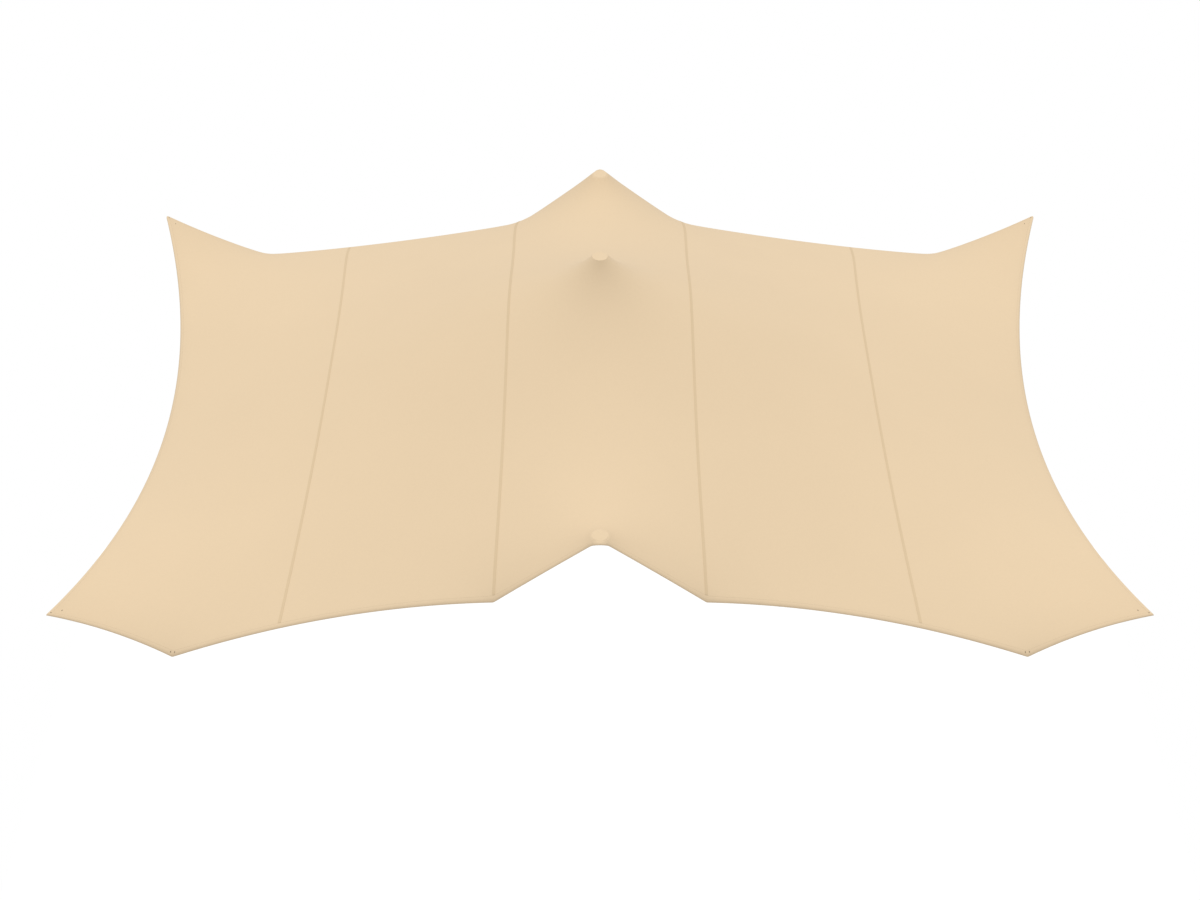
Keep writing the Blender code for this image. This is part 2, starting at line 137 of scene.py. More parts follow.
# How far and how late the cloth turns down over the cord in the hem, how round its tips are, and how far the fine
# grid of a low point reaches
ROLL_DROP = 0.016
ROLL_POWER = 3
TIP_SMOOTHING = 0.008
FRONT_TIP_RADIUS = 0.009
BACK_TIP_RADIUS = 0.028
LOW_TIP_REACH = 0.02

# Faces that turn by more than this meet at a sharp edge
SHARP_ANGLE = math.radians(50)


def between(a, b, share):
    return a + (b - a) * share


def stations(marks, counts):
    """Grid lines: each stretch between two marks in its own number of equal steps."""
    lines = [marks[0]]
    for start, end, count in zip(marks[:-1], marks[1:], counts):
        lines += [between(start, end, step / count) for step in range(1, count + 1)]
    return np.array(lines)


def edge_of(x, edge):
    """Depth and rise of the front or back edge at the distances x from the middle, its kinks a little rounded."""
    total = np.zeros((2, len(x)))
    offsets = np.linspace(-TIP_SMOOTHING, TIP_SMOOTHING, 9)
    for offset in offsets:
        total += sharp_edge_of(np.minimum(np.abs(x + offset), CORNER[0]), edge)
    return total / len(offsets)


def sharp_edge_of(x, edge):
    round_peak = np.minimum(x / PLATEAU_RADIUS, 1) ** 2
    depth = EDGE_PEAK[1] - PEAK_ROUNDING * round_peak
    rise = edge["peak"] - PEAK_DROP * round_peak
    peak_end = (PLATEAU_RADIUS, EDGE_PEAK[1] - PEAK_ROUNDING, edge["peak"] - PEAK_DROP)
    shoulder, low_point, corner = (*SHOULDER, edge["shoulder"]), (*LOW_POINT, edge["low"]), (*CORNER, edge["corner"])
    stretches = ((peak_end, shoulder, PEAK_SCALLOP), (shoulder, low_point, edge["long_scallop"]),
                 (low_point, corner, edge["short_scallop"]))
    for start, end, scallop in stretches:
        share = (x - start[0]) / (end[0] - start[0])
        beyond = x > start[0]
        depth = np.where(beyond, between(start[1], end[1], share) - scallop * 4 * share * (1 - share), depth)
        rise = np.where(beyond, between(start[2], end[2], share), rise)
    return np.array((depth, rise))


# Even turns of the roll over the hem, as shares of its width from its inner line to the edge
ROLL_STEPS = 6
ROLL = [math.sin(math.pi / 2 * step / ROLL_STEPS) for step in range(1, ROLL_STEPS)]

COLUMN_MARKS = {
    "middle": 0.0,
    "plateau": PLATEAU_RADIUS,
    "peak_patch": PATCH_REACH,
    "shoulder_patch_in": SHOULDER[0] - SHOULDER_PATCH_INNER_REACH,
    "shoulder_tape_in": SHOULDER[0] - TAPE_HALF_WIDTH,
    "shoulder": SHOULDER[0],
    "shoulder_tape_out": SHOULDER[0] + TAPE_HALF_WIDTH,
    "shoulder_patch": SHOULDER[0] + PATCH_REACH,
    "seam_tape_in": OUTER_SEAM - TAPE_HALF_WIDTH,
    "seam": OUTER_SEAM,
    "seam_tape_out": OUTER_SEAM + TAPE_HALF_WIDTH,
    "low_patch_in": LOW_POINT[0] - PATCH_REACH,
    "low_point_in": LOW_POINT[0] - LOW_TIP_REACH,
    "low_point": LOW_POINT[0],
    "low_point_out": LOW_POINT[0] + LOW_TIP_REACH,
    "low_patch_out": LOW_POINT[0] + PATCH_REACH,
    "corner_patch": CORNER[0] - CORNER_PATCH_REACH,
    "hem": CORNER[0] - HEM_WIDTH,
    "edge": CORNER[0],
}
COLUMN_STEPS = (7, 9, 18, 6, 2, 2, 8, 54, 2, 2, 24, 8, 4, 4, 8, 13, 18, 1)
ROW_MARKS = {
    "middle": 0.0,
    "plateau": PLATEAU_RADIUS / EDGE_PEAK[1],
    "king_patch": PATCH_REACH / EDGE_PEAK[1],
    "deep_patch": 1 - CORNER_PATCH_REACH / EDGE_PEAK[1],
    "patch": 1 - PATCH_REACH / EDGE_PEAK[1],
    "edge_plateau": 1 - (HEM_WIDTH + 2 * PLATEAU_RADIUS) / EDGE_PEAK[1],
    "hem": 1 - HEM_WIDTH / EDGE_PEAK[1],
    "edge": 1.0,
}
ROW_STEPS = (7, 9, 80, 8, 4, 14, 1)


def with_roll(lines):
    """Puts the roll's own grid lines into the last step, which is the hem."""
    roll = [between(lines[-2], lines[-1], share) for share in ROLL]
    return np.concatenate((lines[:-1], roll, lines[-1:]))


COLUMNS = with_roll(stations(list(COLUMN_MARKS.values()), COLUMN_STEPS))
ROWS = with_roll(stations(list(ROW_MARKS.values()), ROW_STEPS))
ROW_SHARES = np.concatenate((-ROWS[:0:-1], ROWS))
COLUMN = {name: int(np.abs(COLUMNS - mark).argmin()) for name, mark in COLUMN_MARKS.items()}
ROW = {name: int(np.abs(ROWS - mark).argmin()) for name, mark in ROW_MARKS.items()}

# The grid's square rings round the king become round within the first distance, and stay square past the second.
# Those round the heads at the edges stay square past so many radii.
ROUNDED_WITHIN = 0.20
ROUNDED_UNTIL = 0.60
EDGE_HEAD_ROUNDED_UNTIL = 2.5


def spread_of(seam):
    """How far a seam spreads from its place in the middle, along its length."""
    share = np.abs(ROW_SHARES)
    front, back = (along * share ** 2 + hook * share ** END_HOOK_POWER
                   for along, hook in (FRONT_EDGE[seam], BACK_EDGE[seam]))
    return np.where(ROW_SHARES < 0, front, back)


def side_at(share):
    """Distance of the side edge from the middle, at shares of the depth."""
    return CORNER[0] - SIDE_INSET * (1 - share ** 2)


def lay_out_plan():
    """Plan of the right half's grid points, the rise of those that something holds, and the depth at which each
    one's column meets the front or back edge."""
    front_depth, front_rise = edge_of(COLUMNS, FRONT_EDGE)
    back_depth, back_rise = edge_of(COLUMNS, BACK_EDGE)
    bow = 1 - ROW_SHARES ** 2
    side = side_at(ROW_SHARES)
    hem_line = CORNER[0] - HEM_WIDTH
    seam = OUTER_SEAM_MIDDLE + spread_of("outer_seam")
    inner_seam = INNER_SEAM_MIDDLE + spread_of("inner_seam")
    x = np.zeros((len(COLUMNS), len(ROW_SHARES)))
    for column, station in enumerate(COLUMNS):
        if station <= SHOULDER[0]:
            x[column] = station * between(1.0, inner_seam / SHOULDER[0], min(station / PATCH_REACH, 1))
        elif station <= OUTER_SEAM:
            x[column] = between(inner_seam, seam, (station - SHOULDER[0]) / (OUTER_SEAM - SHOULDER[0]))
        elif station < hem_line:
            x[column] = between(seam, side - HEM_WIDTH, (station - OUTER_SEAM) / (hem_line - OUTER_SEAM))
        else:
            x[column] = side - (CORNER[0] - station)
    depth = np.where(ROW_SHARES < 0, front_depth[:, None], back_depth[:, None])
    y = depth * ROW_SHARES
    rise = np.full(x.shape, np.nan)
    rise[:, 0], rise[:, -1] = front_rise, back_rise
    rise[-1] = between(front_rise[-1], back_rise[-1], (ROW_SHARES + 1) / 2) - SIDE_DIP * bow
    middle, plateau = ROW["edge"], COLUMN["plateau"] + 1
    rise[:plateau, middle - ROW["plateau"]:middle + ROW["plateau"] + 1] = KING_RISE
    rise[:plateau, middle + ROW["edge_plateau"]:middle + ROW["hem"] + 1] = BACK_EDGE["peak"]
    rise[:plateau, middle - ROW["hem"]:middle - ROW["edge_plateau"] + 1] = FRONT_EDGE["peak"]
    ring = np.maximum(x, np.abs(y))
    weight = np.clip((ROUNDED_UNTIL - ring) / (ROUNDED_UNTIL - ROUNDED_WITHIN), 0, 1)
    scale = between(1.0, ring / np.maximum(np.hypot(x, y), TINY), weight)
    x, y = round_edge_heads(x * scale, np.abs(y * scale))
    return x, y * np.sign(ROW_SHARES), rise, depth


def round_edge_heads(x, y):
    """Turns the square rings of grid points about the edges' pole heads into round ones."""
    across = (COLUMNS / PLATEAU_RADIUS)[:, None] * np.ones(len(ROW_SHARES))
    depth = np.abs(ROW_SHARES) * EDGE_PEAK[1]
    along = np.ones(len(COLUMNS))[:, None] * ((depth - EDGE_HEAD_DEPTH) / PLATEAU_RADIUS)
    ring = np.maximum(np.abs(across), np.abs(along))
    factor = PLATEAU_RADIUS * ring / np.maximum(np.hypot(across, along), TINY)
    fading = np.clip((EDGE_HEAD_ROUNDED_UNTIL - ring) / (EDGE_HEAD_ROUNDED_UNTIL - 1), 0, 1)
    edge = (EDGE_PEAK[1] - EDGE_HEAD_DEPTH) / PLATEAU_RADIUS
    outside = np.clip((edge - along) / (edge - 1), 0, 1)
    weight = fading * outside
    return between(x, across * factor, weight), between(y, EDGE_HEAD_DEPTH + along * factor, weight)


def pulled(away, pull):
    """Extra tension of the cloth along the line away from a pole head, as a tensor."""
    down = away / np.maximum(np.linalg.norm(away, axis=-1, keepdims=True), TINY)
    return pull[..., None, None] * down[..., :, None] * down[..., None, :]


def tension_at(point):
    """Tension of the cloth at points, as a tensor. Round the pole heads it pulls harder down the slope, at the king
    only down the back and the sides, and most along the ridges that run from the king to either side."""
    distance = np.maximum(np.linalg.norm(point, axis=-1), PLATEAU_RADIUS)
    sideways = (point[..., 0] / distance) ** 2
    cone = between(np.where(point[..., 1] > 0, KING_BACK_CONE, 0.0), KING_SIDE_CONE, sideways)
    ridge = KING_RIDGE * np.exp(-(distance / KING_RIDGE_REACH) ** 2) * sideways
    from_edge_head = point - np.stack((0 * point[..., 0], EDGE_HEAD_DEPTH * np.sign(point[..., 1])), axis=-1)
    edge_cone = EDGE_CONE / np.maximum(np.linalg.norm(from_edge_head, axis=-1), PLATEAU_RADIUS)
    return np.eye(2) + pulled(point, cone / distance + ridge) + pulled(from_edge_head, edge_cone)


def relax(x, y, rise):
    """Heights of the free grid points where the cloth's tension balances. Each cell counts as two triangles, cut
    both ways, and the columns are eliminated one after the other."""
    columns, rows = rise.shape
    here = np.stack((x, y), axis=-1)
    inner = np.zeros((columns, rows, rows))
    outer = np.zeros((columns - 1, rows, rows))
    corners = ((0, 0), (1, 0), (1, 1), (0, 1))
    for cut in ((0, 1, 2), (0, 2, 3), (0, 1, 3), (1, 2, 3)):
        spots = [corners[index] for index in cut]
        a, b, c = (here[dx:columns - 1 + dx, dy:rows - 1 + dy] for dx, dy in spots)
        to_b, to_c = b - a, c - a
        double_area = to_b[..., 0] * to_c[..., 1] - to_b[..., 1] * to_c[..., 0]
        slopes = []
        for start, end in ((b, c), (c, a), (a, b)):
            run = end - start
            slopes.append(np.stack((-run[..., 1], run[..., 0]), axis=-1) / double_area[..., None])
        tension = tension_at((a + b + c) / 3)
        for (dx1, dy1), slope1 in zip(spots, slopes):
            for (dx2, dy2), slope2 in zip(spots, slopes):
                pull = np.einsum("...i,...ij,...j", slope1, tension, slope2) * double_area / 4
                line1 = np.arange(rows - 1) + dy1
                line2 = np.arange(rows - 1) + dy2
                for column in range(columns - 1):
                    if dx1 == dx2:
                        inner[column + dx1, line1, line2] += pull[column]
                    elif dx1 < dx2:
                        outer[column, line1, line2] += pull[column]
    return eliminate(inner, outer, rise)


def eliminate(inner, outer, rise):
    """Solves the balance of the free points, column by column."""
    columns, rows = rise.shape
    free = np.isnan(rise)
    held = np.where(free, 0, rise)
    load = np.zeros(rise.shape)
    for column in range(columns):
        load[column] -= inner[column] @ held[column]
        if column:
            load[column] -= outer[column - 1].T @ held[column - 1]
        if column < columns - 1:
            load[column] -= outer[column] @ held[column + 1]
    kept = []
    for column in range(columns):
        spots = np.flatnonzero(free[column])
        stiffness = inner[column][np.ix_(spots, spots)].copy()
        force = load[column][spots]
        if column:
            before, previous, previous_force = kept[-1]
            link = outer[column - 1][np.ix_(before, spots)]
            solved = np.linalg.solve(previous, np.column_stack((link, previous_force)))
            stiffness -= link.T @ solved[:, :-1]
            force = force - link.T @ solved[:, -1]
        kept.append((spots, stiffness, force))
    settled = held.copy()
    for column in reversed(range(columns)):
        spots, stiffness, force = kept[column]
        if column < columns - 1:
            after = kept[column + 1][0]
            force = force - outer[column][np.ix_(spots, after)] @ settled[column + 1, after]
        settled[column, spots] = np.linalg.solve(stiffness, force)
    return settled


PLAN_X, PLAN_Y, HELD_RISE, DEPTH = lay_out_plan()
RISE = relax(PLAN_X, PLAN_Y, HELD_RISE)


def mirror_out(half, sign=1):
    """The right half's values after their mirror images, for the whole canopy."""
    return np.concatenate((half[:0:-1] * sign, half))


def unit(vectors):
    return vectors / np.maximum(np.linalg.norm(vectors, axis=-1, keepdims=True), TINY)


def round_tips(points, to_side, to_end):
    """Rounds the canopy's four corners, which the back ropes pull out blunter than the front ones."""
    column_halves, row_halves = [((0, 1, slice(count // 2)), (-1, -2, slice(count // 2, None)))
                                 for count in to_side.shape]
    for column, inner_column, columns in column_halves:
        for (row, inner_row, rows), radius in zip(row_halves, (FRONT_TIP_RADIUS, BACK_TIP_RADIUS)):
            here = np.zeros(to_side.shape)
            here[columns, rows] = 1
            across = here * np.clip(1 - to_side / radius, 0, 1)
            along = here * np.clip(1 - to_end / radius, 0, 1)
            ring = np.maximum(across, along)
            back = radius * (1 - ring / np.maximum(np.hypot(across, along), TINY))
            inward = unit(points[inner_column, row] - points[column, row])
            along_side = unit(points[column, inner_row] - points[column, row])
            points = points + (across * back)[..., None] * inward + (along * back)[..., None] * along_side
    return points


def lay_out_canopy():
    """Points of the cloth's upper face for the whole canopy, with the roll over the hem."""
    points = np.stack((mirror_out(PLAN_X, -1), mirror_out(PLAN_Y), mirror_out(RISE) + CORNER_LEVEL), axis=-1)
    to_side = mirror_out(side_at(ROW_SHARES) - PLAN_X)
    to_end = mirror_out(DEPTH * (1 - np.abs(ROW_SHARES)))
    points = round_tips(points, to_side, to_end)
    turn = np.clip(1 - np.minimum(to_side, to_end) / HEM_WIDTH, 0, 1)
    points[..., 2] -= ROLL_DROP * (1 - np.sqrt(1 - turn ** ROLL_POWER))
    return points, to_side, to_end


POINTS, TO_SIDE, TO_END = lay_out_canopy()
NORMALS = unit(np.cross(np.gradient(POINTS, axis=0), np.gradient(POINTS, axis=1)))
LAST_COLUMN, LAST_ROW = len(COLUMNS) - 1, len(ROWS) - 1


def lengths_from_middle(points):
    """Length along the cloth from its middle line, for the first direction of the grid."""
    middle = points.shape[0] // 2
    steps = np.linalg.norm(np.diff(points, axis=0), axis=-1)
    lengths = np.concatenate((np.zeros((1, points.shape[1])), np.cumsum(steps, axis=0)))
    return lengths - lengths[middle]


ACROSS = lengths_from_middle(POINTS)
ALONG = lengths_from_middle(POINTS.transpose(1, 0, 2)).T
SURFACE = np.concatenate((POINTS, NORMALS, ACROSS[..., None], ALONG[..., None], TO_SIDE[..., None],
                          TO_END[..., None]), axis=-1)


def surface_at(column, row):
    """Point, normal, lengths and edge distances at grid positions, which may lie between the grid's lines."""
    column, row = column + LAST_COLUMN, row + LAST_ROW
    low_column = np.clip(np.floor(column).astype(int), 0, 2 * LAST_COLUMN - 1)
    low_row = np.clip(np.floor(row).astype(int), 0, 2 * LAST_ROW - 1)
    part_column = (column - low_column)[..., None]
    part_row = (row - low_row)[..., None]
    near = between(SURFACE[low_column, low_row], SURFACE[low_column + 1, low_row], part_column)
    far = between(SURFACE[low_column, low_row + 1], SURFACE[low_column + 1, low_row + 1], part_column)
    return between(near, far, part_row)


def fresh_object(name, data, *materials):
    piece = bpy.data.objects.new(name, data)
    for material in materials:
        data.materials.append(material)
    bpy.context.scene.collection.objects.link(piece)
    return piece


def dress(piece, slot, *nodes):
    """The piece rides on the canopy and stands for its CAD nodes, which it hides. The slot is not used."""
    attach(piece, "root")
    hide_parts(*nodes)
    return piece


def make_cloth(name, columns, rows, drop, thickness, material, clear=GAP, rounding=0.0):
    """A closed piece of cloth between grid lines, laid at a depth under the canopy's upper face. Its inner
    corners may be rounded, by a radius in metres."""
    mesh = bmesh.new()
    bmesh.ops.create_grid(mesh, x_segments=columns[1] - columns[0], y_segments=rows[1] - rows[0], size=0.5)
    lower = bmesh.ops.extrude_face_region(mesh, geom=mesh.faces)["geom"]
    bmesh.ops.translate(mesh, verts=[v for v in lower if isinstance(v, bmesh.types.BMVert)], vec=(0, 0, -1))
    bmesh.ops.recalc_face_normals(mesh, faces=mesh.faces)
    data = bpy.data.meshes.new(name)
    mesh.to_mesh(data)
    mesh.free()
    spots = np.empty(len(data.vertices) * 3)
    data.vertices.foreach_get("co", spots)
    spots = spots.reshape(-1, 3)
    flat = spots[:, :2].T
    spans = np.array((columns, rows), float)
    size = extent(*spans)
    lines = draw_in(between(spans[:, :1], spans[:, 1:], flat + 0.5), spans, clear / size)
    if rounding:
        lines = round_outline(lines, spans, rounding / size)
    found = surface_at(*lines)
    depth = drop - thickness * spots[:, 2]
    places = found[:, :3] - found[:, 3:6] * depth[:, None]
    data.vertices.foreach_set("co", places.ravel())
    add_cloth_coordinates(data, found, ((0.5 - np.abs(flat)) * size).min(axis=0))
    data.shade_smooth()
    data.set_sharp_from_angle(angle=SHARP_ANGLE)
    data.update()
    return fresh_object(name, data, material)


def extent(columns, rows):
    """Width and height of a piece along its middle lines."""
    left, right = surface_at(columns, np.full(2, rows.mean()))
    front, back = surface_at(np.full(2, columns.mean()), rows)
    return np.array(((right[6] - left[6],), (back[7] - front[7],)))


def draw_in(lines, spans, shares):
    """Draws a piece's grid positions in at its outline, by shares of its width and height."""
    clear = np.diff(spans) * shares
    return np.clip(lines, spans[:, :1] + clear, spans[:, 1:] - clear)


def round_outline(lines, spans, shares):
    """Rounds the corners of a piece. Shares are the radius as parts of its width and height."""
    middle, half = spans.mean(axis=1, keepdims=True), np.diff(spans) / 2
    offset, radius = lines - middle, 2 * half * shares
    over = np.clip(1 - (half - np.abs(offset)) / radius, 0, 1)
    back = 1 - over.max(axis=0) / np.maximum(np.hypot(*over), TINY)
    return middle + (offset - np.sign(offset) * over * back * radius)


def add_cloth_coordinates(data, found, from_outline):
    """A UV map in metres along the cloth, and the distances to the canopy's edge and to the piece's outline."""
    loops = np.empty(len(data.loops), int)
    data.loops.foreach_get("vertex_index", loops)
    layer = data.uv_layers.new(name="surface")
    layer.uv.foreach_set("vector", found[loops, 6:8].ravel())
    for name, distance in (("from_edge", np.minimum(found[:, 8], found[:, 9])), ("from_outline", from_outline)):
        data.attributes.new(name, "FLOAT", "POINT").data.foreach_set("value", distance)


class Value:
    """A number in a material's nodes. Arithmetic on it adds Math nodes."""

    def __init__(self, finish, socket):
        self.finish = finish
        self.socket = socket

    def maths(self, operation, *values):
        return self.finish.add("ShaderNodeMath", {"operation": operation}, *values)

    def __add__(self, other):
        return self.maths("ADD", self, other)

    def __sub__(self, other):
        return self.maths("SUBTRACT", self, other)

    def __rsub__(self, other):
        return self.maths("SUBTRACT", other, self)

    def __mul__(self, other):
        return self.maths("MULTIPLY", self, other)

    def __abs__(self):
        return self.maths("ABSOLUTE", self)

    __radd__ = __add__
    __rmul__ = __mul__


class Finish:
    """A material and the nodes that it is made of."""

    def __init__(self, name, constants):
        self.material = bpy.data.materials.new(name)
        self.material.use_nodes = True
        self.tree = self.material.node_tree
        self.shader = self.tree.nodes["Principled BSDF"]
        for socket, value in constants.items():
            self.shader.inputs[socket].default_value = value

    def add(self, kind, settings=None, *values, output=0, **named):
        """Adds a node, with its settings and then its sockets' values or links, and gives one output."""
        node = self.tree.nodes.new(kind)
        for setting, value in (settings or {}).items():
            setattr(node, setting, value)
        for index, value in enumerate(values):
            self.feed(node.inputs[index], value)
        for socket, value in named.items():
            self.feed(node.inputs[socket], value)
        return Value(self, node.outputs[output])

    def feed(self, socket, value):
        if isinstance(value, Value):
            self.tree.links.new(value.socket, socket)
        elif value is not None:
            socket.default_value = value

    def use(self, socket, value):
        self.feed(self.shader.inputs[socket], value)

    def along_cloth(self):
        """The cloth's own coordinates in metres: across, along."""
        place = self.add("ShaderNodeUVMap", {"uv_map": "surface"})
        return (self.add("ShaderNodeSeparateXYZ", None, place, output=axis) for axis in (0, 1))

    def noise(self, scale, detail=2.0, roughness=0.5, stretch=(1, 1, 1)):
        """Noise from 0 to 1 on the object's coordinates, with so many features to the metre."""
        here = self.add("ShaderNodeTexCoord", None, output="Object")
        place = self.add("ShaderNodeMapping", None, here, Scale=stretch)
        return self.add("ShaderNodeTexNoise", None, Vector=place, Scale=scale, Detail=detail, Roughness=roughness)

    def smooth(self, value, low, high):
        """A smooth step from 0 to 1 between two values."""
        return self.add("ShaderNodeMapRange", {"interpolation_type": "SMOOTHSTEP"}, value, low, high)

    def band(self, value, middle, half_width):
        """1 within a band about the middle, 0 outside it."""
        return self.smooth(abs(value - middle), half_width, half_width * 0.5)

    def wave(self, value, period):
        """A wave from 0 to 1 with its period in metres."""
        angle = value * (2 * math.pi / period)
        return angle.maths("SINE", angle) * 0.5 + 0.5

    def blend(self, factor, first, second):
        """A mix of two colours, whose sockets come after those for numbers and vectors."""
        unused = (None,) * 5
        return self.add("ShaderNodeMix", {"data_type": "RGBA"}, factor, *unused, first, second, output=2)

    def shade(self, colour, amount):
        """The colour times a number that varies over the surface."""
        if not isinstance(colour, Value):
            colour = colour[:3]
        return self.add("ShaderNodeVectorMath", {"operation": "SCALE"}, colour, Scale=amount)

    def bump(self, height, distance, strength):
        return self.add("ShaderNodeBump", None, Height=height, Distance=distance, Strength=strength)


# Colours of the finishes under plain light
SAND = (0.755, 0.588, 0.390)
TAPE_SAND = (0.680, 0.521, 0.328)
DOUBLED_SAND = (0.720, 0.562, 0.377)
THREAD = (0.500, 0.380, 0.245)
TACK_THREAD = (0.270, 0.200, 0.130)
WEBBING_SAND = (0.420, 0.318, 0.205)
WEBBING_SHADE = (0.340, 0.252, 0.158)
TAN_PLASTIC = (0.400, 0.285, 0.175)
WORN_PLASTIC = (0.500, 0.380, 0.255)

# Their patterns, in metres
KNIT_WALE = 0.0016
KNIT_COURSE = 0.0012
STITCH = 0.004
STITCH_HALF_WIDTH = 0.0008
GROOVE_HALF_WIDTH = 0.003
# Margin of the tape that is thinned and darkened with painted shade: where the darkening ends, and where it is full
PRESSED_AND_SHADED_MARGIN = (0.0022, 0.0008)
WEBBING_ZIGZAG = 0.008
WEBBING_TWILL = 0.0021
WEBBING_YARN = 0.0012
TURNING_RING = 0.0011

# Distances of the rows of stitches: from the canopy's edge, and from a hem's and a patch's own outline
EDGE_STITCHES = (0.027,)
HEM_STITCHES = (0.004,)
PATCH_STITCHES = (0.005, 0.010)


def opaque(colour):
    return (*colour, 1.0)


def knit(finish, across, along):
    """Ribs of the knit from 0 to 1, with the loops of the yarn along them."""
    return finish.wave(across, KNIT_WALE) * 0.7 + finish.wave(along + across * 0.5, KNIT_COURSE) * 0.3


def stitches(finish, across, along, distance, line):
    """A row of stitches at a distance from an outline."""
    thread = finish.band(distance, line, STITCH_HALF_WIDTH)
    return thread * finish.smooth(finish.wave(across + along, STITCH), 0.15, 0.3)


def distance_on(finish, name):
    return finish.add("ShaderNodeAttribute", {"attribute_name": name}, output="Fac")


def cloth_finish(name, base, roughness, rows_of_stitches, distance_name):
    """Knitted stretch fabric with a matt coat, a little uneven in colour, with its rows of stitches."""
    finish = Finish(name, {"Sheen Weight": 0.08, "Sheen Roughness": 0.5, "Specular IOR Level": 0.25})
    across, along = finish.along_cloth()
    ribs = knit(finish, across, along)
    clouds = finish.noise(1.7, 3.0)
    mottle = finish.noise(60.0, 4.0, 0.65)
    amount = clouds * 0.03 + mottle * 0.05 + ribs * 0.03 + 0.945
    from_edge = distance_on(finish, "from_edge")
    handled = finish.smooth(from_edge, 0.10, 0.0) * finish.noise(14.0, 3.0)
    colour = finish.shade(opaque(base), amount - handled * 0.03)
    height = ribs * 0.35 + mottle * 0.3
    distance = distance_on(finish, distance_name)
    for line in rows_of_stitches:
        sewn = stitches(finish, across, along, distance, line)
        groove = finish.band(distance, line, GROOVE_HALF_WIDTH)
        colour = finish.blend(sewn * 0.8, colour, opaque(THREAD))
        height = height + sewn * 1.6 - groove * 1.2
    finish.use("Base Color", colour)
    finish.use("Roughness", finish.noise(9.0) * 0.08 + (roughness - 0.04))
    finish.use("Normal", finish.bump(height, 0.0003, 0.5))
    return finish.material


def tape_finish():
    """Tape welded over a seam, its margins thinned by pressing, with painted shade darkening its colour there."""
    finish = Finish("seam_tape", {"Sheen Weight": 0.04, "Specular IOR Level": 0.35})
    mottle = finish.noise(45.0, 3.0, 0.6)
    pressed_and_shaded = finish.smooth(distance_on(finish, "from_outline"), *PRESSED_AND_SHADED_MARGIN)
    # Painted shade: the colour is a twentieth darker along the tape's margins, as if the grooves beside it were in
    # shade
    colour = finish.shade(opaque(TAPE_SAND), mottle * 0.05 + 0.975 - pressed_and_shaded * 0.05)
    finish.use("Base Color", colour)
    finish.use("Roughness", finish.noise(20.0) * 0.10 + 0.66)
    finish.use("Normal", finish.bump(mottle * 0.5 - pressed_and_shaded, 0.0003, 0.6))
    return finish.material


def webbing_finish():
    """Webbing woven in a herringbone, worn paler along its edges."""
    finish = Finish("woven_webbing", {"Sheen Weight": 0.12, "Specular IOR Level": 0.3})
    across, along = finish.along_cloth()
    zigzag = abs(finish.wave(across, STRAP_WIDTH / 2) - 0.5) * WEBBING_ZIGZAG
    twill = finish.wave(along + zigzag, WEBBING_TWILL)
    yarns = finish.wave(across, WEBBING_YARN)
    weave = twill * 0.65 + yarns * 0.35
    dirt = finish.noise(80.0, 4.0, 0.6)
    base = finish.blend(weave, opaque(WEBBING_SHADE), opaque(WEBBING_SAND))
    worn = finish.smooth(abs(across), STRAP_WIDTH * 0.40, STRAP_WIDTH * 0.5)
    colour = finish.shade(finish.blend(worn * 0.5, base, opaque(DOUBLED_SAND)), dirt * 0.16 + 0.92)
    finish.use("Base Color", colour)
    finish.use("Roughness", dirt * 0.10 + 0.76)
    finish.use("Normal", finish.bump(weave, 0.0006, 0.8))
    return finish.material


def thread_finish(name, base):
    """Twisted sewing thread."""
    finish = Finish(name, {"Specular IOR Level": 0.35})
    strands = finish.noise(2600.0, 2.0, 0.5, stretch=(1, 1, 0.4))
    finish.use("Base Color", finish.shade(opaque(base), strands * 0.3 + 0.85))
    finish.use("Roughness", strands * 0.15 + 0.6)
    finish.use("Normal", finish.bump(strands, 0.0002, 0.5))
    return finish.material


def plastic_finish():
    """Tan moulded plastic with faint turning rings, scuffed pale where poles and cloth rub it."""
    finish = Finish("tan_plastic", {"Specular IOR Level": 0.45})
    radius, height = finish.along_cloth()
    grain = finish.noise(900.0, 2.0, 0.5)
    scuffs = finish.smooth(finish.noise(120.0, 4.0, 0.7, stretch=(1, 1, 0.25)), 0.52, 0.68)
    rim = finish.smooth(radius, HEAD_RADIUS - 0.006, HEAD_RADIUS)
    plug_end = finish.smooth(height, 0.012, 0.0)
    worn = (rim * 0.5 + plug_end * 0.5 + 0.15) * scuffs
    colour = finish.blend(worn, opaque(TAN_PLASTIC), opaque(WORN_PLASTIC))
    finish.use("Base Color", finish.shade(colour, finish.noise(25.0) * 0.10 + 0.95))
    finish.use("Roughness", scuffs * 0.18 + finish.noise(40.0) * 0.06 + 0.40)
    rings = finish.wave(radius + height, TURNING_RING)
    finish.use("Normal", finish.bump(grain * 0.4 + rings * 0.15 - scuffs * 0.25, 0.0002, 0.6))
    return finish.material


def make_panels(material):
    """The five strips of fabric, which meet at the four seams."""
    shoulder, seam, edge = COLUMN["shoulder"], COLUMN["seam"], COLUMN["edge"]
    cuts = {
        "left_end_panel": (-edge, -seam),
        "left_inner_panel": (-seam, -shoulder),
        "centre_panel": (-shoulder, shoulder),
        "right_inner_panel": (shoulder, seam),
        "right_end_panel": (seam, edge),
    }
    rows = (-ROW["edge"], ROW["edge"])
    return {name: dress(make_cloth(f"{name}_cloth", columns, rows, 0, FABRIC, material, GAP / 2), "sand_fabric", name)
            for name, columns in cuts.items()}


def mirrored(low, high, sign):
    return (low, high) if sign > 0 else (-high, -low)


